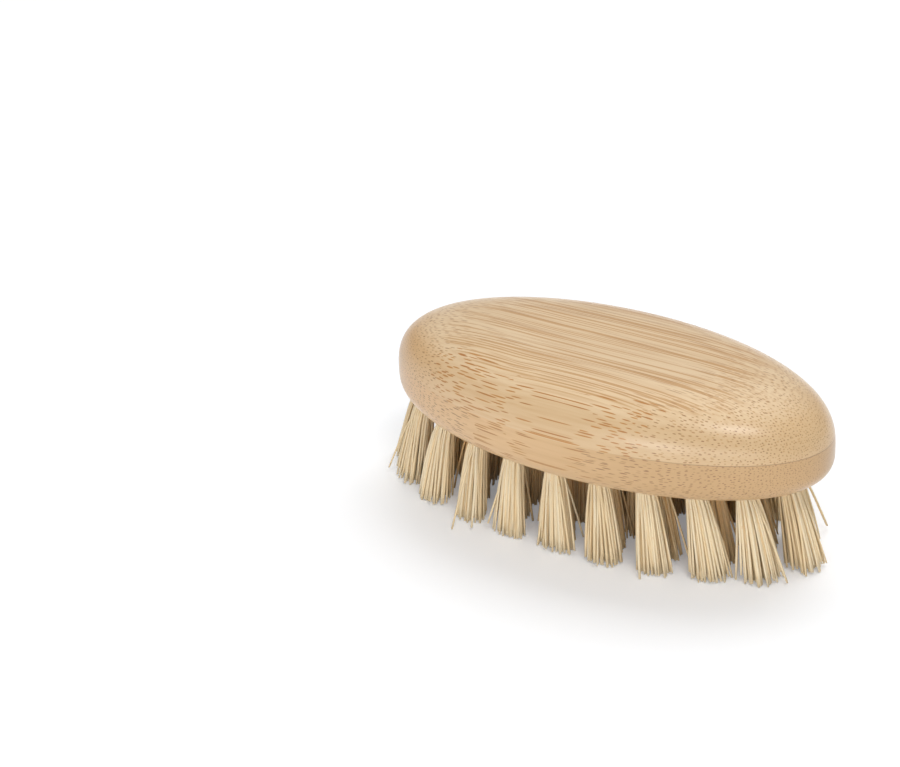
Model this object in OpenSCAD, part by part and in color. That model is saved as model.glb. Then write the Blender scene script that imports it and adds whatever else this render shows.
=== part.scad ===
// Oval vegetable brush: a block of two glued bamboo plies, with tufts of stiff plant fibre.
// Each tuft is folded over a flat wire and driven into a drilled hole, where the wire bites into the wood.
// Z is up and X runs along the block. The origin is on the ground, under the middle of the whole brush.

/* [Block] */
// Length of the block
block_l = 125; // [110:1:145]
// Width of the block
block_w = 60; // [54:1:70]
// Height of the block, without the bristles
block_h = 25; // [21:0.5:30]
// Thickness of the lower ply, up to the glue line
lower_ply_h = 11.5; // [10:0.5:14]
// Height of the upright side, from the underside to where the crown starts
side_h = 8.5; // [7:0.5:12]
// Height of the rounding along the lower edge
edge_h = 6; // [3:0.5:6.5]
// Reach of that rounding under the block's ends
edge_in = 6; // [2:0.5:7]
// Flatness of the crown: a higher value keeps the top flat further out
crown_flat = 5; // [3:0.5:8]
// Fullness of the crown's shoulder
crown_full = 2.4; // [1.8:0.1:3.2]

/* [Rows] */
// Distance from the block's end to the outer row
row_in_end = 9; // [8:0.5:12]
// Distance from the block's side to the outer row
row_in_side = 7.5; // [6.5:0.25:9]
// Step from row to row along the block's length
row_step_end = 12.5; // [11:0.25:14]
// Step from row to row across the block
row_step_side = 7.2; // [6.8:0.1:7.4]
// Shift of the block along X from the origin
block_x = 2; // [-2:0.5:2]
// Shift of the rows along X from the origin
row_x = -1; // [-2:0.5:2]
// Number of tufts in the outer row
outer_count = 20; // [16:1:21]
// Number of tufts in the second row
second_count = 14; // [10:1:15]
// Shift of the second row's tufts along it, in parts of their pitch
second_turn = 0.25; // [-0.25:0.05:0.25]
// Number of tufts in the inner row
inner_count = 8; // [6:1:9]
// Distance between the two tufts in the middle
middle_pitch = 12.5; // [10:0.5:15]

/* [Holes] */
// Diameter of the drilled holes
hole_d = 5; // [4:0.1:5.2]
// Wood left between the drill's point and the glue line
hole_floor = 2; // [1:0.25:3]
// Full angle of the drill's point
drill_angle = 118; // [90:1:150]
// Outward lean of the holes at the ends of the outer row, in degrees
end_lean = 14; // [0:1:16]
// Outward lean of the holes at its sides, in degrees
side_lean = 2; // [0:1:8]

/* [Tufts] */
// Length of the bristles, from the block's underside to the ground
bristle_l = 25; // [18:1:35]
// Number of bristle locks in a tuft
strands = 11; // [7:1:11]
// Width of a lock where it leaves the hole
strand_root_d = 0.8; // [0.5:0.05:0.9]
// Width of a lock at its cut end
strand_tip_d = 1.3; // [0.5:0.05:1.4]
// Width of a splayed tuft at the ground
splay_d = 11; // [6:0.2:12]
// Least space between the cut ends of neighbouring tufts
tip_gap = 0.6; // [0.4:0.1:1.5]
// Length of the packed bundle that stands out of the hole
collar_h = 1; // [0.7:0.1:2]
// Clearance between the packed bundle and its hole
fit_gap = 0.05; // [0.02:0.01:0.1]

/* [Anchor wires] */
// Thickness of the flat wire
wire_t = 0.4; // [0.3:0.05:0.6]
// Width of the flat wire, along the hole
wire_w = 2; // [1.4:0.1:2.4]
// Depth of each bite of the wire into the wood
wire_bite = 0.7; // [0.4:0.1:0.9]
// Turn of the wires from the grain, in degrees
wire_turn = 45; // [0:5:90]
// Easing of the fold over the wire
fold_ease = 0.5; // [0.3:0.1:0.8]

/* [Hidden] */
$fn = 48;
// Corners of the block's outline, and steps in each of its roundings
outline_n = 96;
edge_n = 5;
crown_n = 12;
// Steps in which a row's length is measured
row_n = 180;
// Angle between neighbours in a sunflower head, which fills a round tuft evenly
sunflower = 137.508;

underside_z = bristle_l;
half_l = block_l / 2;
half_w = block_w / 2;
crown_h = block_h - side_h;

outer_l = half_l - row_in_end;
outer_w = half_w - row_in_side;

hole_r = hole_d / 2;
point_h = hole_r / tan(drill_angle / 2);
hole_h = lower_ply_h - hole_floor - point_h;
// Length by which a cutting shape runs out through the underside
overrun = 2;

bundle_r = hole_r - fit_gap;
bundle_top = hole_h - fit_gap;
fold_r = bundle_r + fold_ease;
wire_z = bundle_top - fold_r;
wire_l = hole_d + 2 * wire_bite;
// Locks start inside the bundle, this far from its skin
skin = 0.15;
root_r = bundle_r - strand_root_d / 2 - skin;
tip_r = strand_tip_d / 2;

// Heights above the underside at which the block's outline is drawn
edge_levels = [for (i = [0:edge_n]) edge_h * (1 - cos(90 * i / edge_n))];
crown_levels = [for (i = [0:crown_n]) side_h + crown_h * sin(90 * i / crown_n)];
levels = concat(edge_levels, crown_levels);

// Size of the outline at a height, as a share of its full size
function share_at(h) =
    h < edge_h ? 1 - edge_in / half_l * (1 - sqrt(1 - pow(1 - h / edge_h, 2)))
    : h <= side_h ? 1
    : pow(max(0, 1 - pow((h - side_h) / crown_h, crown_full)), 1 / crown_flat);

// Oval of a given size, as points at height h above the underside
function oval(share, h) = [
    for (i = [0:outline_n - 1])
        let (a = 360 * i / outline_n)
        [block_x + half_l * share * cos(a), half_w * share * sin(a), underside_z + h]
];

// Heights for a slice of the block, with both of its faces
function slice_levels(low, high) = let (hair = 0.01) concat(
    [low],
    [for (h = levels) if (h > low + hair && h < high - hair) h],
    [high]
);

// One slice of the block: ovals stacked from its lower face to its upper face, or to the crown's top
module ply(low, high) {
    heights = slice_levels(low, high);
    rings = [for (h = heights) if (share_at(h) > 0) oval(share_at(h), h)];
    top = len(rings) - 1;
    n = outline_n;
    base = len(rings) * n;
    points = concat(
        [for (ring = rings) each ring],
        [[block_x, 0, underside_z + low], [block_x, 0, underside_z + high]]
    );
    sides = [
        for (k = [0:top - 1], i = [0:n - 1])
            let (j = (i + 1) % n)
            [k * n + i, (k + 1) * n + i, (k + 1) * n + j, k * n + j]
    ];
    lower_face = [for (i = [0:n - 1]) [base, i, (i + 1) % n]];
    upper_face = [for (i = [0:n - 1]) [base + 1, top * n + (i + 1) % n, top * n + i]];
    polyhedron(points, concat(lower_face, sides, upper_face));
}

// A row is an oval with half axes a and b. Its table gives the angle at each length along it.
function on_row(a, b, angle) = [a * cos(angle), b * sin(angle)];
function row_table(a, b) = let (step = 360 / row_n) [
    for (i = 0, s = 0; i <= row_n;
        s = s + norm(on_row(a, b, (i + 1) * step) - on_row(a, b, i * step)), i = i + 1)
        [s, i * step]
];

// A spot is a tuft's place: its centre, the way along the row, the pitch and the step to the next row
function row_spots(ring, count, turn = 0) = let (
    a = outer_l - ring * row_step_end,
    b = outer_w - ring * row_step_side,
    table = row_table(a, b),
    round_l = table[row_n][0]
) [
    for (k = [0:count - 1])
        let (
            s = (k + turn) / count * round_l,
            angle = lookup(s < 0 ? s + round_l : s, table),
            along = unit([-a * sin(angle), b * cos(angle)]),
            across = [along[1], -along[0]],
            step = [row_step_end * cos(angle), row_step_side * sin(angle)] * across
        )
        [on_row(a, b, angle) + [row_x, 0], along, round_l / count, step]
];
middle_spots = [
    for (side = [-1, 1])
        [[row_x + side * middle_pitch / 2, 0], [1, 0], middle_pitch, row_step_side]
];

function unit(v) = v / norm(v);
function two_digits(k) = str(k < 10 ? "0" : "", k);
function row_names(word, count) = [for (k = [1:count]) str(word, "_tuft_", two_digits(k))];

spots = concat(
    row_spots(0, outer_count),
    row_spots(1, second_count, second_turn),
    row_spots(2, inner_count),
    middle_spots
);
tuft_names = concat(
    row_names("outer", outer_count),
    row_names("second", second_count),
    row_names("inner", inner_count),
    row_names("middle", len(middle_spots))
);

// Run of a tuft from its hole to the ground: it leans out with its distance from the rows' centre
function lean(spot) = bristle_l * [
    tan(end_lean) * (spot[0][0] - row_x) / outer_l,
    tan(side_lean) * spot[0][1] / outer_w
];
function tilt(spot) = atan(norm(lean(spot)) / bristle_l);
function tilt_turn(spot) = norm(lean(spot)) > 0 ? atan2(-lean(spot)[1], -lean(spot)[0]) : 0;

// Places a shape in a hole: its Z runs up the hole, from the mouth
module in_hole(spot) {
    translate([spot[0][0], spot[0][1], underside_z])
        rotate([0, tilt(spot), tilt_turn(spot)])
            children();
}

// Turns a shape in a hole so that its X runs along the wire
module along_wire(spot) {
    rotate([0, 0, wire_turn - tilt_turn(spot)])
        children();
}

// The drilled hole, with the drill's point at its end
module drilled_hole() {
    rotate_extrude()
        polygon([[0, -overrun], [hole_r, -overrun], [hole_r, hole_h], [0, hole_h + point_h]]);
}

// The flat wire, or the gap that it needs in the bundle
module wire(gap = 0) {
    translate([0, 0, wire_z])
        cube([wire_l, wire_t + 2 * gap, wire_w + 2 * gap], center = true);
}

// Side view of the bundle: two legs, joined by the fold over the wire
module folded_side() {
    translate([0, wire_z])
        circle(r = fold_r);
    translate([-fold_r, -collar_h - overrun])
        square([2 * fold_r, wire_z + collar_h + overrun]);
}

// The packed fibre in the hole, with the gap that the wire fills
module folded_bundle(spot) {
    difference() {
        intersection() {
            translate([0, 0, -collar_h])
                cylinder(r = bundle_r, h = collar_h + hole_h);
            along_wire(spot)
                rotate([90, 0, 90])
                    linear_extrude(height = 2 * hole_d, center = true)
                        folded_side();
        }
        along_wire(spot)
            wire(fit_gap);
    }
}

// Point p of a hole's own frame, as a point of the whole brush
function from_hole(spot, p) = let (
    up = unit([-lean(spot)[0], -lean(spot)[1], bristle_l]),
    along = unit([spot[1][0], spot[1][1], 0] - ([spot[1][0], spot[1][1], 0] * up) * up),
    across = cross(along, up)
) [spot[0][0], spot[0][1], underside_z] + p[0] * along + p[1] * across + p[2] * up;

// One lock of bristles: three-sided, from inside the bundle to its flat cut on the ground
module strand(spot, k) {
    out = sqrt((k + 0.5) / strands);
    place = out * [cos(k * sunflower), sin(k * sunflower)];
    along = spot[1];
    across = [along[1], -along[0]];
    spread_along = min(splay_d, spot[2] - tip_gap) / 2 - tip_r;
    spread_across = min(splay_d, spot[3] - tip_gap) / 2 - tip_r;
    tip = spot[0] + lean(spot) + place[0] * spread_along * along + place[1] * spread_across * across;
    corners = [for (a = [90, 210, 330]) [cos(a), sin(a)]];
    root_ring = [
        for (c = corners)
            let (p = root_r * place + strand_root_d / 2 * c)
            from_hole(spot, [p[0], p[1], 0])
    ];
    tip_ring = [
        for (c = corners)
            let (p = tip + tip_r * (c[0] * along + c[1] * across))
            [p[0], p[1], 0]
    ];
    polyhedron(concat(root_ring, tip_ring),
        [[0, 1, 2], [5, 4, 3], [0, 3, 4], [0, 4, 1], [1, 4, 5], [1, 5, 2], [2, 5, 3], [2, 3, 0]]);
}

module upper_ply() {
    color("#E6CDA2")
        ply(lower_ply_h, block_h);
}

module lower_ply() {
    color("#D8B482")
        difference() {
            ply(0, lower_ply_h);
            for (spot = spots)
                in_hole(spot)
                    along_wire(spot) {
                        drilled_hole();
                        wire();
                    }
        }
}

module anchor_wires() {
    color("#B8BCC0")
        for (spot = spots)
            in_hole(spot)
                along_wire(spot)
                    wire();
}

module tuft(spot) {
    color("#E8D9B6")
        union() {
            in_hole(spot)
                folded_bundle(spot);
            for (k = [0:strands - 1])
                strand(spot, k);
        }
}

upper_ply();
lower_ply();
anchor_wires();
for (i = [0:len(spots) - 1])
    tuft(spots[i]);
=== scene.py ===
import math
import random

import bpy
from mathutils import Matrix, Vector


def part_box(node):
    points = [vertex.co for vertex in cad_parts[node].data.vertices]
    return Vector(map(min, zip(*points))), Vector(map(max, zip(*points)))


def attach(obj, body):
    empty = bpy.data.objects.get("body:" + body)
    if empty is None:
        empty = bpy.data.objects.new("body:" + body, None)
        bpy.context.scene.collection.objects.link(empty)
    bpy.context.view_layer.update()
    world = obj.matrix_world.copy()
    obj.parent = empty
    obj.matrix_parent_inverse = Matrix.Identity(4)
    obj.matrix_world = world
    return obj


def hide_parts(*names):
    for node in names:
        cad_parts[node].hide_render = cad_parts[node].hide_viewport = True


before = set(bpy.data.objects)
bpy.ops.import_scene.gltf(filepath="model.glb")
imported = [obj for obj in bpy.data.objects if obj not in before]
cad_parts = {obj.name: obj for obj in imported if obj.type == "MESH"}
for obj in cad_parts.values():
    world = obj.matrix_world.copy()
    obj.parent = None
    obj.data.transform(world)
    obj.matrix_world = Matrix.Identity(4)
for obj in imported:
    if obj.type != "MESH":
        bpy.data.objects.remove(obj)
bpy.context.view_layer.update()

MM = 0.001

# Sizes of the block, taken from the frame
lower_lo, lower_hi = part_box("lower_ply")
_, upper_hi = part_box("upper_ply")
UNDERSIDE_Z = lower_lo.z
GLUE_Z = lower_hi.z
TOP_Z = upper_hi.z
HALF_L = (lower_hi.x - lower_lo.x) / 2
HALF_W = (lower_hi.y - lower_lo.y) / 2
BLOCK_X = (lower_hi.x + lower_lo.x) / 2

# Shape of the block: a rounded lower edge, an upright side and a flat crown with full shoulders
EDGE_H = 6 * MM
EDGE_IN = 6 * MM
SIDE_H = 8.5 * MM
CROWN_FLAT = 5
CROWN_FULL = 2.4
CROWN_H = TOP_Z - UNDERSIDE_Z - SIDE_H

# The rows of tufts: half axes, count, and turn along the row in parts of the pitch
ROW_X = -1 * MM
OUTER_ROW = (53.5 * MM, 22.5 * MM)
ROW_STEP = (12.5 * MM, 7.2 * MM)
ROWS = [("outer", 20, 0.0), ("second", 14, 0.25), ("inner", 8, 0.0)]
MIDDLE_PITCH = 12.5 * MM
HOLE_R = 2.5 * MM
HOLE_DEPTH = 8 * MM
END_LEAN = math.radians(14)
SIDE_LEAN = math.radians(2)

# The drill: sides of its cutter, where the cutter starts, and the angle of its point
DRILL_SIDES = 24
DRILL_START = -2 * MM
DRILL_POINT = math.radians(31)

# Bristles
FIBRES_IN_TUFT = 120
FIBRE_D = 0.62 * MM
FIBRE_SIDES = 5
# The tufts' random seeds count up from here
FIRST_SEED = 100
# A tuft's width at its tips at most, and the gap that it leaves to its neighbours
SPLAY = 11 * MM
TIP_GAP = 0.6 * MM
# The fibres' middles stay at least this far from the wall of the hole
HOLE_PLAY = 0.3 * MM
# Turn from each fibre to the next, which spreads them evenly over a disc
GOLDEN_TURN = math.radians(137.508)
# Loose fibres: the draw below which a fibre is one, and how many times further it strays
LOOSEST = (0.04, 8.5)
LOOSE = (0.12, 4.5)
# Places along a fibre, from 0 at the mouth of its hole to 1 at its tip
STATIONS = (0.2, 0.42, 0.64, 0.84, 1.0)
# Shape of the splay: below 1, the fibres part sooner after the mouth
SPLAY_CURVE = 0.8
# Range of a tuft's share of its full spread, along the row and across it
ALONG_SPREAD = (0.86, 1.0)
ACROSS_SPREAD = (0.95, 1.15)
# A fibre's thickness in parts of FIBRE_D, and at its root, mouth and tip in parts of its own
THICKNESS = (0.78, 1.22)
ROOT_TAPER = 0.8
MOUTH_TAPER = 0.85
TIP_TAPER = 0.88
# Where a fibre starts in its hole, and where it leaves the hole
ROOT_DEPTH = 2 * MM
MOUTH_DEPTH = -0.3 * MM
# Random scatter in millimetres: a tuft's foot, each fibre's tip and bow, and the cut ends' heights
FOOT_DRIFT = (0.35, 0.25)
TIP_WANDER = 0.3
FIBRE_BOW = 0.14
CUT_ROUGHNESS = 0.35
SHORTEST_BY = 2.8
# Scatter of a fibre's turn in radians, and of the slope of a tuft's cut
TURN_SCATTER = 0.12
CUT_SLOPE = 0.04
# Range of a fibre's own tone in the outer row
TONE_RANGE = 0.9
# How far a row's fibres lean towards brown: painted shade on the rows inside the outer one
ROW_PAINTED_SHADE = {"outer": 0.0, "second": 0.75, "inner": 1.0, "middle": 1.0}


def share_at(height):
    """Size of the block's outline at a height above the underside, as a share of its full size."""
    if height < EDGE_H:
        return 1 - EDGE_IN / HALF_L * (1 - math.sqrt(max(0, 1 - (1 - height / EDGE_H) ** 2)))
    if height <= SIDE_H:
        return 1
    rise = min(1, (height - SIDE_H) / CROWN_H)
    return max(0, 1 - rise ** CROWN_FULL) ** (1 / CROWN_FLAT)


def crown_height(share):
    """Height above the underside at which the crown's outline has a given share of its full size."""
    return SIDE_H + CROWN_H * max(0, 1 - share ** CROWN_FLAT) ** (1 / CROWN_FULL)


def new_piece(name, points, faces):
    """A smooth mesh that rides the body."""
    mesh = bpy.data.meshes.new(name)
    mesh.from_pydata(points, [], faces)
    mesh.validate()
    mesh.update()
    piece = bpy.data.objects.new(name, mesh)
    bpy.context.scene.collection.objects.link(piece)
    for face in mesh.polygons:
        face.use_smooth = True
    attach(piece, "root")
    return piece


# The block

OUTLINE_STEPS = 240
EDGE_STEPS = 12
SHOULDER_STEPS = 44
# Share of the outline at which the shoulder turns into the crown
SHOULDER_TURN = 0.93
# Edges sharper than this stay crisp
UPPER_CREASE = math.radians(40)
LOWER_CREASE = math.radians(30)


def ring(share, height):
    """The block's outline at a height above the underside, in a share of its full size."""
    return [
        (
            BLOCK_X + HALF_L * share * math.cos(math.tau * i / OUTLINE_STEPS),
            HALF_W * share * math.sin(math.tau * i / OUTLINE_STEPS),
            UNDERSIDE_Z + height,
        )
        for i in range(OUTLINE_STEPS)
    ]


def stacked_rings(rings, low_cap, high_cap):
    """Points and faces of a closed solid made of rings, with a middle point in each cap."""
    points = [p for r in rings for p in r] + [low_cap, high_cap]
    low_mid, high_mid = len(points) - 2, len(points) - 1
    n = OUTLINE_STEPS
    faces = []
    for k in range(len(rings) - 1):
        for i in range(n):
            j = (i + 1) % n
            faces.append((k * n + i, k * n + j, (k + 1) * n + j, (k + 1) * n + i))
    last = (len(rings) - 1) * n
    for i in range(n):
        j = (i + 1) % n
        faces.append((j, i, low_mid))
        faces.append((last + i, last + j, high_mid))
    return points, faces


def upper_ply():
    """The domed layer above the glue line."""
    glue = GLUE_Z - UNDERSIDE_Z
    heights = [glue]
    # Even steps round the shoulder: first by height, then by the outline's size
    turn_height = crown_height(SHOULDER_TURN)
    steps = SHOULDER_STEPS // 2
    heights += [glue + (turn_height - glue) * k / steps for k in range(1, steps + 1)]
    rings = [ring(share_at(h), h) for h in heights]
    for k in range(1, SHOULDER_STEPS + 1):
        share = SHOULDER_TURN * (1 - k / (SHOULDER_STEPS + 1)) ** 0.8
        rings.append(ring(share, crown_height(share)))
    low = (BLOCK_X, 0, GLUE_Z)
    high = (BLOCK_X, 0, TOP_Z)
    points, faces = stacked_rings(rings, low, high)
    piece = new_piece("upper_ply_dressed", points, faces)
    piece.data.set_sharp_from_angle(angle=UPPER_CREASE)
    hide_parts("upper_ply")
    return piece


def lower_ply(spots):
    """The layer under the glue line, with a rounded lower edge and the tufts' holes."""
    glue = GLUE_Z - UNDERSIDE_Z
    heights = [EDGE_H * (1 - math.cos(math.pi / 2 * k / EDGE_STEPS)) for k in range(EDGE_STEPS + 1)]
    heights += [SIDE_H * 0.5 + EDGE_H * 0.5, SIDE_H, (SIDE_H + glue) / 2, glue]
    rings = [ring(share_at(h), h) for h in heights]
    points, faces = stacked_rings(rings, (BLOCK_X, 0, UNDERSIDE_Z), (BLOCK_X, 0, GLUE_Z))
    piece = new_piece("lower_ply_dressed", points, faces)
    drill_holes(piece, spots)
    piece.data.set_sharp_from_angle(angle=LOWER_CREASE)
    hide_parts("lower_ply")
    return piece


def drill_holes(piece, spots):
    """Cuts one blind hole per tuft into the underside."""
    points, faces = [], []
    for spot in spots:
        hole = hole_frame(spot)
        first = len(points)
        for depth in (DRILL_START, HOLE_DEPTH):
            for i in range(DRILL_SIDES):
                a = math.tau * i / DRILL_SIDES
                points.append(from_hole(hole, HOLE_R * math.cos(a), HOLE_R * math.sin(a), depth))
        points.append(from_hole(hole, 0, 0, HOLE_DEPTH + HOLE_R * math.tan(DRILL_POINT)))
        apex = len(points) - 1
        faces.append([first + i for i in range(DRILL_SIDES)])
        for i in range(DRILL_SIDES):
            j = (i + 1) % DRILL_SIDES
            rim = first + DRILL_SIDES
            faces.append([first + i, rim + i, rim + j, first + j])
            faces.append([rim + i, apex, rim + j])
    mesh = bpy.data.meshes.new("drill")
    mesh.from_pydata(points, [], faces)
    mesh.update()
    drill = bpy.data.objects.new("drill", mesh)
    bpy.context.scene.collection.objects.link(drill)
    cut = piece.modifiers.new("holes", "BOOLEAN")
    cut.operation = "DIFFERENCE"
    cut.solver = "EXACT"
    cut.object = drill
    bpy.context.view_layer.update()
    graph = bpy.context.evaluated_depsgraph_get()
    cut_mesh = bpy.data.meshes.new_from_object(piece.evaluated_get(graph))
    piece.modifiers.clear()
    piece.data = cut_mesh
    bpy.data.objects.remove(drill)


# The rows

# Steps in which a row's oval is measured
ROW_MEASURE_STEPS = 720


def on_row(half_axes, angle):
    """A point on a row's oval, about the oval's middle."""
    return Vector((half_axes[0] * math.cos(angle), half_axes[1] * math.sin(angle)))


def row_spots(number, count, turn):
    """Places of a row's tufts, at equal steps along its oval: centre, way along, pitch and row step."""
    half_axes = (OUTER_ROW[0] - number * ROW_STEP[0], OUTER_ROW[1] - number * ROW_STEP[1])
    steps = ROW_MEASURE_STEPS
    angles = [math.tau * i / steps for i in range(steps + 1)]
    lengths = [0.0]
    for i in range(steps):
        step_taken = on_row(half_axes, angles[i + 1]) - on_row(half_axes, angles[i])
        lengths.append(lengths[-1] + step_taken.length)
    spots = []
    for k in range(count):
        wanted = (k + turn) / count * lengths[-1] % lengths[-1]
        i = max(j for j in range(steps) if lengths[j] <= wanted)
        part = (wanted - lengths[i]) / (lengths[i + 1] - lengths[i])
        angle = angles[i] + part * (angles[i + 1] - angles[i])
        along = Vector((-half_axes[0] * math.sin(angle), half_axes[1] * math.cos(angle))).normalized()
        across = Vector((along.y, -along.x))
        step = Vector((ROW_STEP[0] * math.cos(angle), ROW_STEP[1] * math.sin(angle))).dot(across)
        place = on_row(half_axes, angle) + Vector((ROW_X, 0))
        spots.append((place, along, lengths[-1] / count, step))
    return spots


def all_spots():
    """The place of every tuft, by the tuft's name."""
    spots = {}
    for number, (word, count, turn) in enumerate(ROWS):
        for k, spot in enumerate(row_spots(number, count, turn)):
            spots[f"{word}_tuft_{k + 1:02d}"] = spot
    for k, side in enumerate((-1, 1)):
        place = Vector((ROW_X + side * MIDDLE_PITCH / 2, 0))
        spots[f"middle_tuft_{k + 1:02d}"] = (place, Vector((1, 0)), MIDDLE_PITCH, ROW_STEP[1])
    return spots


def lean_of(spot):
    """Way from a tuft's hole to its foot on the ground, on the level."""
    place = spot[0]
    return Vector((
        UNDERSIDE_Z * math.tan(END_LEAN) * (place.x - ROW_X) / OUTER_ROW[0],
        UNDERSIDE_Z * math.tan(SIDE_LEAN) * place.y / OUTER_ROW[1],
    ))


def hole_frame(spot):
    """Mouth of a hole, with its axes along the row, across the row and up the hole."""
    place, along2 = spot[0], spot[1]
    lean = lean_of(spot)
    up = Vector((-lean.x, -lean.y, UNDERSIDE_Z)).normalized()
    along = Vector((along2.x, along2.y, 0))
    along = (along - along.dot(up) * up).normalized()
    across = along.cross(up)
    return Vector((place.x, place.y, UNDERSIDE_Z)), along, across, up


def from_hole(hole, u, v, w):
    """A point at u along the row, v across it and w up the hole from its mouth."""
    mouth, along, across, up = hole
    return mouth + u * along + v * across + w * up


# The tufts

def fibre(points, faces, tones, centres, radii, tone, turn):
    """One bristle: a thin tube through its centres, closed at both ends."""
    first = len(points)
    n = FIBRE_SIDES
    for centre, radius in zip(centres, radii):
        for i in range(n):
            a = turn + math.tau * i / n
            points.append(centre + Vector((radius * math.cos(a), radius * math.sin(a), 0)))
            tones.append(tone)
    for k in range(len(centres) - 1):
        for i in range(n):
            j = (i + 1) % n
            a = first + k * n
            faces.append((a + i, a + n + i, a + n + j, a + j))
    last = first + (len(centres) - 1) * n
    faces.append([first + i for i in range(n)])
    faces.append([last + n - 1 - i for i in range(n)])


def tuft(name, spot, seed):
    """A splayed bundle of stiff fibres, which leaves its hole tightly packed."""
    rng = random.Random(seed)
    hole = hole_frame(spot)
    lean = lean_of(spot)
    along = Vector((spot[1].x, spot[1].y, 0))
    across = Vector((along.y, -along.x, 0))
    foot = Vector((spot[0].x + lean.x, spot[0].y + lean.y, 0))
    spread_along = (min(SPLAY, spot[2] - TIP_GAP) / 2 - FIBRE_D / 2) * rng.uniform(*ALONG_SPREAD)
    spread_across = (min(SPLAY, spot[3] - TIP_GAP) / 2 - FIBRE_D / 2) * rng.uniform(*ACROSS_SPREAD)
    drift = Vector((rng.gauss(0, FOOT_DRIFT[0]), rng.gauss(0, FOOT_DRIFT[1]), 0)) * MM
    cut_slope = Vector((rng.gauss(0, CUT_SLOPE), rng.gauss(0, CUT_SLOPE), 0))
    points, faces, tones = [], [], []
    packed_r = HOLE_R - HOLE_PLAY
    for k in range(FIBRES_IN_TUFT):
        out = math.sqrt((k + 0.5) / FIBRES_IN_TUFT)
        angle = k * GOLDEN_TURN + rng.gauss(0, TURN_SCATTER)
        place = Vector((math.cos(angle), math.sin(angle))) * out
        lot = rng.random()
        loose = LOOSEST[1] if lot < LOOSEST[0] else LOOSE[1] if lot < LOOSE[0] else 1
        wander = Vector((rng.gauss(0, TIP_WANDER), rng.gauss(0, TIP_WANDER), 0)) * MM * loose
        tip = foot + drift + wander
        tip += place.x * spread_along * along + place.y * spread_across * across
        offset = tip - foot
        tip.z = FIBRE_D * 0.1 + abs(rng.gauss(0, CUT_ROUGHNESS)) * MM + max(0, offset.dot(cut_slope))
        # Most fibres end close to the ground, and a few are a good deal shorter
        tip.z += rng.random() ** 4 * SHORTEST_BY * MM
        radius = FIBRE_D / 2 * rng.uniform(*THICKNESS)
        root = from_hole(hole, place.x * packed_r, place.y * packed_r, ROOT_DEPTH)
        mouth = from_hole(hole, place.x * packed_r, place.y * packed_r, MOUTH_DEPTH)
        bow = Vector((rng.gauss(0, FIBRE_BOW), rng.gauss(0, FIBRE_BOW), 0)) * MM
        centres = [root, mouth]
        radii = [radius * ROOT_TAPER, radius * MOUTH_TAPER]
        for part in STATIONS:
            # The height goes evenly, and the way outwards goes faster near the hole than at the tips
            splayed = mouth.lerp(tip, part ** SPLAY_CURVE)
            centre = mouth.lerp(tip, part)
            centre.x, centre.y = splayed.x, splayed.y
            centre += bow * math.sin(math.pi * part)
            centres.append(centre)
            radii.append(radius * (1.0 if part < 1 else TIP_TAPER))
        # A fibre's own tone, raised by its row's painted shade
        tone = rng.random() * TONE_RANGE + ROW_PAINTED_SHADE[name.split("_")[0]]
        fibre(points, faces, tones, centres, radii, tone, rng.uniform(0, math.tau))
    piece = new_piece(f"{name}_fibres", points, faces)
    tone_layer = piece.data.color_attributes.new("fibre_tone_and_shade", "FLOAT_COLOR", "POINT")
    for i, tone in enumerate(tones):
        tone_layer.data[i].color = (tone, tone, tone, 1)
    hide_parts(name)
    return piece


# Shader maths

class Value:
    """A shader socket. Python's operators on it add Math nodes."""

    def __init__(self, finish, socket):
        self.finish = finish
        self.socket = socket

    def math(self, operation, *others, clamp=False):
        settings = {"operation": operation, "use_clamp": clamp}
        return self.finish.add("ShaderNodeMath", settings, [self, *others])

    def __add__(self, other):
        return self.math("ADD", other)

    __radd__ = __add__

    def __sub__(self, other):
        return self.math("SUBTRACT", other)

    def __rsub__(self, other):
        return self.finish.number(other).math("SUBTRACT", self)

    def __mul__(self, other):
        return self.math("MULTIPLY", other)

    __rmul__ = __mul__

    def __truediv__(self, other):
        return self.math("DIVIDE", other)

    def clamped(self):
        return self.math("ADD", 0.0, clamp=True)

    def smooth(self, low, high):
        """0 below low, 1 above high and a smooth step between them; high may be the lower one."""
        return self.finish.add(
            "ShaderNodeMapRange",
            {"interpolation_type": "SMOOTHSTEP"},
            {"Value": self, "From Min": low, "From Max": high, "To Min": 0.0, "To Max": 1.0},
        )


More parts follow.
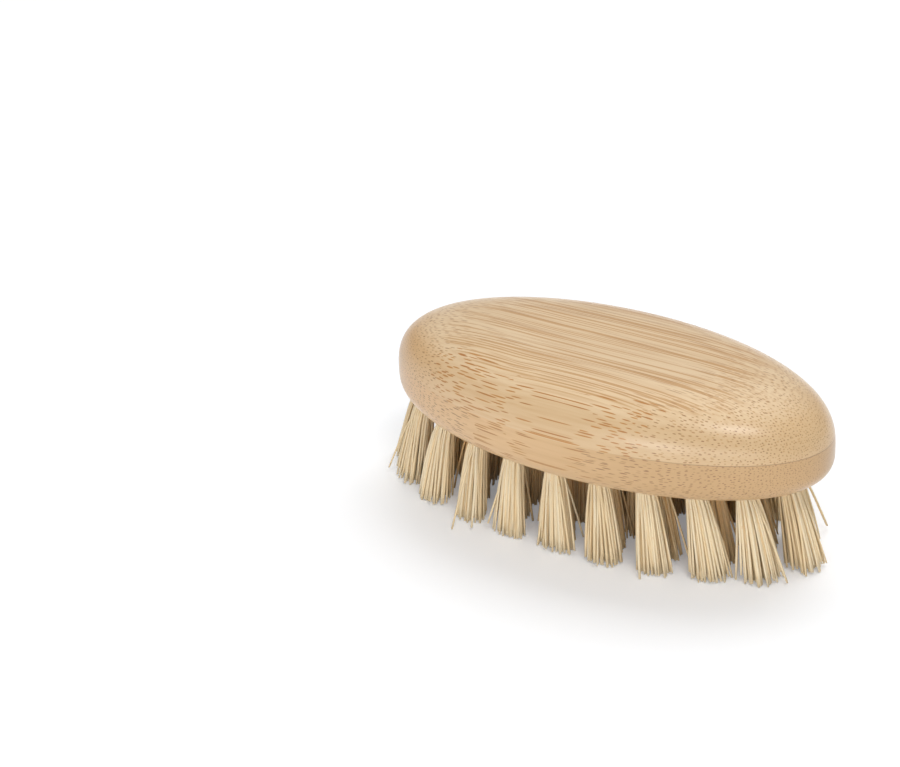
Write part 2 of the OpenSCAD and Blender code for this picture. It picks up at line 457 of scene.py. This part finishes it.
class Finish:
    """A material under construction."""

    def __init__(self, name):
        self.material = bpy.data.materials.new(name)
        self.material.use_nodes = True
        self.tree = self.material.node_tree
        self.tree.nodes.clear()
        self.output = self.tree.nodes.new("ShaderNodeOutputMaterial")

    def add(self, kind, settings=None, inputs=None, output=0):
        """A node of a kind, its settings set first, and its sockets by name or in their order."""
        node = self.tree.nodes.new(kind)
        for key, value in (settings or {}).items():
            setattr(node, key, value)
        pairs = inputs.items() if isinstance(inputs, dict) else enumerate(inputs or [])
        for key, value in pairs:
            if isinstance(value, Value):
                self.tree.links.new(value.socket, node.inputs[key])
            else:
                node.inputs[key].default_value = value
        return Value(self, node.outputs[output])

    def number(self, value):
        return self.add("ShaderNodeMath", {"operation": "ADD"}, [float(value), 0.0])

    def place(self):
        """X, Y and Z on the object, in millimetres."""
        where = self.add("ShaderNodeTexCoord", output="Object")
        scaled = self.add("ShaderNodeVectorMath", {"operation": "SCALE"}, {0: where, "Scale": 1 / MM})
        node = self.add("ShaderNodeSeparateXYZ", inputs=[scaled]).socket.node
        return [Value(self, node.outputs[i]) for i in range(3)]

    def vector(self, x, y, z):
        return self.add("ShaderNodeCombineXYZ", inputs=[x, y, z])

    def noise(self, x, y, z, detail=2.0):
        return self.add(
            "ShaderNodeTexNoise",
            {"noise_dimensions": "3D"},
            {"Vector": self.vector(x, y, z), "Scale": 1.0, "Detail": detail, "Roughness": 0.5},
        )

    def mix(self, part, a, b):
        """Colour a where part is 0 and b where it is 1, by the Mix node's colour sockets."""
        a = a if isinstance(a, Value) else (*a, 1)
        b = b if isinstance(b, Value) else (*b, 1)
        return self.add(
            "ShaderNodeMix",
            {"data_type": "RGBA", "blend_type": "MIX", "clamp_factor": True},
            {0: part, 6: a, 7: b},
            output=2,
        )

    def bump(self, height, depth_mm):
        sockets = {"Height": height, "Distance": depth_mm * MM, "Strength": 1.0}
        return self.add("ShaderNodeBump", inputs=sockets)

    def finish_with(self, inputs):
        shader = self.add("ShaderNodeBsdfPrincipled", inputs=inputs)
        self.tree.links.new(shader.socket, self.output.inputs["Surface"])
        return self.material


def srgb(r, g, b):
    """A colour as it looks on a screen, turned into the shader's linear one."""
    return tuple(c / 12.92 if c <= 0.04045 else ((c + 0.055) / 1.055) ** 2.4 for c in (r, g, b))


# The bamboo's pattern, in millimetres: X along the block, Y across it with the front at -30, and Z up.
# Each pair goes from where a mask is 0 to where it is 1.
SHOULDER_Y = (-14.0, -19.0)
BELOW_CROWN_Z = (48.6, 47.2)
BARE_FROM_X = (-16.0, -8.0)
BARE_TO_X = (15.0, 8.0)
CROWDED_X = (-10.0, -20.0)
LINES_FROM_X = (-46.0, -34.0)
LINES_TO_X = (50.0, 36.0)
LINES_Z = (46.4, 48.0)
# Where the painted shade on the walls sets in, along X and down Z
SHADED_X = (-25.0, 45.0)
SHADED_Z = (48.0, 43.0)
# The upright side's painted shade: its height, and the left end where it is strongest
WALL_Z = (48.0, 43.5)
LEFT_END_X = (-28.0, -56.0)
GLUE_Z_OFF = (0.16, 0.05)
GLUE_X = (12.0, 44.0)

# How far left and right of X 0 the pattern's fibres start to bend, and over what length they ease into it
BEND_LEFT = 12
BEND_RIGHT = 32
BEND_EASE = 5

# Spacing of the bold bundles, and the radii of both kinds in parts of their spacing
BOLD_SIZE = 0.69
BOLD_RADIUS = 0.23
FINE_RADIUS = 0.205
BOLD_SEED = 3.0
FINE_SEED = 17.0
# Edge of a bundle in parts of its spacing, from outside to inside
BUNDLE_EDGE = (0.06, -0.05)


def bundles(m, y, z, size_mm, radius, amount, seed):
    """Fibre bundles that run along X, seen where the surface cuts them.

    radius is in parts of the spacing size_mm, and amount is the share of bundles that show.
    Gives the bundles' mask and each bundle's own tone.
    """
    net = m.vector(y / size_mm + seed, z / size_mm + seed * 0.37, 0.0)
    node = m.add(
        "ShaderNodeTexVoronoi",
        {"voronoi_dimensions": "2D", "feature": "F1"},
        {"Vector": net, "Scale": 1.0, "Randomness": 0.72},
    ).socket.node
    distance = Value(m, node.outputs["Distance"])
    lots = m.add("ShaderNodeSeparateColor", inputs=[Value(m, node.outputs["Color"])]).socket.node
    lot, size_lot, tone_lot = [Value(m, lots.outputs[i]) for i in range(3)]
    present = (amount - lot).smooth(0.0, 0.06)
    reach = radius * (0.72 + 0.5 * size_lot)
    return (distance - reach).smooth(*BUNDLE_EDGE) * present, tone_lot


def eased(distance):
    """A distance that is BEND_EASE at 0 and grows gently at first."""
    return (distance * distance + BEND_EASE ** 2).math("SQRT")


def bamboo(name, tones, bold_x, fine_size, fine_amount, right_end_shade):
    """Varnished bamboo.

    bold_x is the X range of the bold bundles, fine_size and fine_amount are the spacing and share of the
    fine ones, and the last argument is how far the right end's walls take the painted shade.
    """
    m = Finish(name)
    x, y, z = m.place()
    # The fibres run along X and wander a little
    wander_y = (m.noise(x * 0.014, y * 0.05, z * 0.05, detail=1.0) - 0.5) * 1.4
    wander_z = (m.noise(x * 0.018 + 31, y * 0.05 + 7, z * 0.05 + 3, detail=1.0) - 0.5) * 1.1
    # Towards the left end they follow the front shoulder, so they show as long dashes there
    left = (x * -1 - BEND_LEFT).math("MAXIMUM", 0.0)
    right = (x - BEND_RIGHT).math("MAXIMUM", 0.0)
    to_front = 0.05 + 0.1 * y.smooth(-6.0, -20.0)
    fy = y + wander_y - to_front * (eased(left) - BEND_EASE)
    fz = z + wander_z - 0.12 * eased(right)
    patch = m.noise(x * 0.06 + 5, fy * 0.16, fz * 0.25 + 2, detail=1.5)

    # Bold, sparse bundles along the front shoulder, and fine, close ones everywhere else
    front = (y + 7 * (patch - 0.5)).smooth(*SHOULDER_Y) * z.smooth(*BELOW_CROWN_Z)
    inside_left = x.smooth(bold_x[0] - 5, bold_x[0] + 5)
    inside_right = x.smooth(bold_x[1] + 6, bold_x[1] - 6)
    bold_part = front * inside_right * inside_left
    # Two crowded groups with a nearly bare stretch between them
    bare = x.smooth(*BARE_FROM_X) * x.smooth(*BARE_TO_X)
    crowd = (1.2 * patch + 0.58 + 0.25 * x.smooth(*CROWDED_X)) * (1 - 0.6 * bare)
    bold_share = (bold_part * crowd).clamped()
    bold, bold_tone = bundles(m, fy, fz, BOLD_SIZE, BOLD_RADIUS, bold_share, BOLD_SEED)
    fine_share = (fine_amount + 0.6 * (patch - 0.5)) * (1 - 0.95 * bold_part)
    fine, fine_tone = bundles(m, fy, fz, fine_size, FINE_RADIUS, fine_share, FINE_SEED)

    # Ground tissue: threads along the fibres, thin lines on the crown, slow changes of tone, and painted
    # shade on the walls towards the right end
    threads = m.noise(x * 0.02, fy * 1.3, fz * 1.3, detail=1.0)
    lines = m.noise(x * 0.016 + 9, fy * 1.9, fz * 0.4, detail=0.2).smooth(0.52, 0.60)
    bands = m.noise(x * 0.01, fy * 0.22, fz * 0.28, detail=2.0)
    cloud = m.noise(x * 0.045, y * 0.06, z * 0.08, detail=1.0)
    lined = x.smooth(*LINES_FROM_X) * x.smooth(*LINES_TO_X) * z.smooth(*LINES_Z)
    shaded = x.smooth(*SHADED_X) * z.smooth(*SHADED_Z)
    ground = m.mix((bands * 1.6 - 0.3).clamped(), tones["pale"], tones["deep"])
    ground = m.mix(((threads - 0.45) * 2.4).clamped() * 0.5, ground, tones["thread"])
    ground = m.mix(lines * lined * 0.88, ground, tones["thread"])
    ground = m.mix(((cloud - 0.5) * 1.5).clamped() * 0.4, ground, tones["shade"])
    # Painted shade: the walls darken towards the right end
    ground = m.mix(shaded * right_end_shade, ground, tones["shade"])
    # Painted shade: the upright side is darker tan than the crown, most of all at the left end
    wall_shade_share = z.smooth(*WALL_Z) * (0.34 + 0.55 * x.smooth(*LEFT_END_X))
    ground = m.mix(wall_shade_share, ground, tones["tan"])

    fine_colour = m.mix(fine_tone, tones["brown"], tones["thread"])
    bold_colour = m.mix(bold_tone, tones["orange"], tones["amber"])
    colour = m.mix(fine * (0.93 - 0.38 * lined), ground, fine_colour)
    colour = m.mix(bold * 0.95, colour, bold_colour)
    # The glue line is dark at the right and hardly shows elsewhere
    glue = (z - GLUE_Z / MM).math("ABSOLUTE").smooth(*GLUE_Z_OFF)
    colour = m.mix(glue * (0.05 + 0.6 * x.smooth(*GLUE_X)), colour, tones["glue"])

    rough = 0.38 + 0.14 * m.noise(x * 0.1, fy * 0.8, fz * 0.8) + 0.08 * bold
    relief = threads * 0.2 - bold * 0.6 - fine * 0.4 - glue * 0.5
    return m.finish_with({
        "Base Color": colour,
        "Roughness": rough,
        "Normal": m.bump(relief, 0.012),
        "Coat Weight": 0.85,
        "Coat Roughness": 0.3,
        "IOR": 1.45,
    })


def upper_bamboo():
    tones = {
        "pale": srgb(0.935, 0.83, 0.68),
        "deep": srgb(0.90, 0.78, 0.615),
        "thread": srgb(0.79, 0.61, 0.40),
        # shade tints random clouds, and is the painted shade on the walls towards the right end
        "shade": srgb(0.825, 0.72, 0.56),
        # tan is the painted shade of the upright side
        "tan": srgb(0.85, 0.67, 0.435),
        "brown": srgb(0.62, 0.42, 0.24),
        "orange": srgb(0.71, 0.455, 0.19),
        "amber": srgb(0.78, 0.54, 0.25),
        "glue": srgb(0.60, 0.45, 0.30),
    }
    return bamboo(
        "upper_bamboo_varnished", tones,
        bold_x=(-36, 26), fine_size=0.62, fine_amount=0.95, right_end_shade=0.55,
    )


def lower_bamboo():
    tones = {
        "pale": srgb(0.925, 0.79, 0.61),
        "deep": srgb(0.895, 0.75, 0.565),
        "thread": srgb(0.76, 0.585, 0.395),
        # shade tints random clouds, and is the painted shade on the walls towards the right end
        "shade": srgb(0.76, 0.63, 0.455),
        # tan is the painted shade of the upright side
        "tan": srgb(0.86, 0.67, 0.43),
        "brown": srgb(0.58, 0.38, 0.21),
        "orange": srgb(0.71, 0.48, 0.24),
        "amber": srgb(0.77, 0.56, 0.31),
        "glue": srgb(0.60, 0.45, 0.30),
    }
    return bamboo(
        "lower_bamboo_varnished", tones,
        bold_x=(-22, 10), fine_size=0.58, fine_amount=1.12, right_end_shade=0.85,
    )


def plant_fibre():
    """Dry, pale fibre. Its tone attribute goes up to TONE_RANGE in the outer row, and further inside,
    where it carries the inner rows' painted shade.
    """
    m = Finish("plant_fibre_dry")
    x, y, z = m.place()
    tone = m.add("ShaderNodeAttribute", {"attribute_name": "fibre_tone_and_shade"}, output="Fac")
    length = m.noise(x * 0.5, y * 0.5, z * 0.12, detail=2.0)
    grain = m.noise(x * 5, y * 5, z * 0.6, detail=2.0)
    pale = srgb(0.985, 0.92, 0.79)
    straw = srgb(0.955, 0.855, 0.68)
    brown = srgb(0.95, 0.775, 0.52)
    colour = m.mix(tone.smooth(0.1, 0.9) * 0.8, pale, straw)
    colour = m.mix(((length - 0.5) * 1.4).clamped() * 0.5, colour, straw)
    colour = m.mix(((grain - 0.5) * 2.2).clamped() * 0.3, colour, brown)
    speck = m.noise(x * 2.4, y * 2.4, z * 1.3, detail=0.0).smooth(0.76, 0.83)
    colour = m.mix(speck * 0.5, colour, brown)
    # Painted shade: the inner rows are browner, most of all near the block, where they lie in shade
    # between the tufts
    inner = tone.smooth(0.9, 1.8)
    deep = srgb(1.0, 0.84, 0.60)
    colour = m.mix(inner * (0.4 + 0.6 * z.smooth(3.0, 19.0)), colour, deep)
    return m.finish_with({
        "Base Color": colour,
        "Roughness": 0.52 + 0.2 * grain,
        "Normal": m.bump(grain, 0.01),
        "IOR": 1.45,
    })


def anchor_steel():
    """Bright drawn wire."""
    m = Finish("anchor_steel_drawn")
    x, y, z = m.place()
    lines = m.noise(x * 0.4, y * 0.4, z * 9, detail=3.0)
    return m.finish_with({
        "Base Color": m.mix(lines, srgb(0.70, 0.71, 0.72), srgb(0.80, 0.80, 0.81)),
        "Metallic": 1.0,
        "Roughness": 0.28 + 0.25 * lines,
        "Normal": m.bump(lines, 0.004),
    })


# The stage

FLOOR_WHITE = (0.88, 0.89, 0.90)
# Half the floor's side, in metres
FLOOR_HALF = 3.0
# The paper's glow, seen by the camera and in mirrors only: near the brush, far from it and at the horizon
FLOOR_GLOW = (0.205, 0.21, 0.22)
FAR_GLOW = (0.31, 0.30, 0.30)
HORIZON_GLOW = (0.68, 0.68, 0.68)
# Distances in millimetres over which the glow changes to the far one, and to the horizon's
FAR_REACH = (120.0, 700.0)
HORIZON_REACH = (800.0, 2400.0)
# The world's strength as a light. The camera sees it white.
WORLD_LIGHT = 0.38


def floor_paper():
    """Matt white paper, with a glow for the camera and mirrors that keeps it white in the distance."""
    m = Finish("white_paper")
    rays = m.add("ShaderNodeLightPath").socket.node
    seen = Value(m, rays.outputs["Is Camera Ray"]).math("MAXIMUM", Value(m, rays.outputs["Is Glossy Ray"]))
    paper = m.add("ShaderNodeBsdfDiffuse", inputs={"Color": (*FLOOR_WHITE, 1)})
    x, y, z = m.place()
    away = (x * x + y * y).math("SQRT")
    glow_colour = m.mix(away.smooth(*FAR_REACH), FLOOR_GLOW, FAR_GLOW)
    glow_colour = m.mix(away.smooth(*HORIZON_REACH), glow_colour, HORIZON_GLOW)
    glow = m.add("ShaderNodeEmission", inputs={"Color": glow_colour, "Strength": seen})
    both = m.add("ShaderNodeAddShader", inputs=[paper, glow])
    m.tree.links.new(both.socket, m.output.inputs["Surface"])
    return m.material


def floor():
    half = FLOOR_HALF
    mesh = bpy.data.meshes.new("floor")
    corners = [(-half, -half, 0), (half, -half, 0), (half, half, 0), (-half, half, 0)]
    mesh.from_pydata(corners, [], [(0, 1, 2, 3)])
    mesh.update()
    paper = bpy.data.objects.new("floor", mesh)
    bpy.context.scene.collection.objects.link(paper)
    mesh.materials.append(floor_paper())


def softbox(name, place, aim, width, height, watts, mirrored=True):
    """A rectangular lamp, sized and placed in metres. One that isn't mirrored shows in no reflection."""
    lamp = bpy.data.lights.new(name, "AREA")
    lamp.shape = "RECTANGLE"
    lamp.size = width
    lamp.size_y = height
    lamp.energy = watts
    box = bpy.data.objects.new(name, lamp)
    box.location = place
    box.rotation_euler = (Vector(aim) - Vector(place)).to_track_quat("-Z", "Y").to_euler()
    box.visible_glossy = mirrored
    bpy.context.scene.collection.objects.link(box)


def lights():
    world = bpy.data.worlds.new("studio")
    bpy.context.scene.world = world
    world.use_nodes = True
    tree = world.node_tree
    sky = tree.nodes["Background"]
    sky.inputs["Color"].default_value = (1.0, 1.0, 1.0, 1)
    # White where the camera sees it, and dimmer as a light
    rays = tree.nodes.new("ShaderNodeLightPath")
    level = tree.nodes.new("ShaderNodeMapRange")
    level.inputs["To Min"].default_value = WORLD_LIGHT
    tree.links.new(rays.outputs["Is Camera Ray"], level.inputs["Value"])
    tree.links.new(level.outputs["Result"], sky.inputs["Strength"])
    middle = (0, 0, 0.03)
    softbox("overhead", (-0.12, 0.9, 1.7), middle, 1.4, 1.1, 17.2, mirrored=False)
    softbox("shoulder", (0.34, -0.33, 0.86), middle, 0.27, 0.22, 2.2)
    softbox("front", (0.03, -0.99, 0.11), middle, 0.28, 0.085, 1.5)
    softbox("beside_camera", (0.5, -0.85, 0.12), middle, 0.6, 0.14, 1.1)


# The camera, at the photo's viewing angle
CAMERA_PLACE = Vector((267.6, -460.9, 327.7)) * MM
CAMERA_AIM = Vector((-42.7, -7.0, 30.0)) * MM
# Roll in radians, and lens in millimetres
CAMERA_ROLL = 0.0536
CAMERA_LENS = 93.52


def camera():
    data = bpy.data.cameras.new("camera")
    data.lens = CAMERA_LENS
    data.sensor_width = 36
    data.sensor_fit = "HORIZONTAL"
    data.clip_start = 0.01
    data.clip_end = 20
    eye = bpy.data.objects.new("camera", data)
    bpy.context.scene.collection.objects.link(eye)
    eye.location = CAMERA_PLACE
    turn = (CAMERA_AIM - CAMERA_PLACE).to_track_quat("-Z", "Y").to_matrix().to_4x4()
    eye.rotation_euler = (turn @ Matrix.Rotation(-CAMERA_ROLL, 4, "Z")).to_euler()
    bpy.context.scene.camera = eye


def dress(piece, material):
    """Gives a piece its only material."""
    piece.data.materials.clear()
    piece.data.materials.append(material)


bpy.context.scene.view_settings.view_transform = "Standard"
spots = all_spots()
dress(upper_ply(), upper_bamboo())
dress(lower_ply(list(spots.values())), lower_bamboo())
fibre_finish = plant_fibre()
for number, (name, spot) in enumerate(spots.items()):
    dress(tuft(name, spot, FIRST_SEED + number), fibre_finish)
dress(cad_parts["anchor_wires"], anchor_steel())
floor()
lights()
camera()
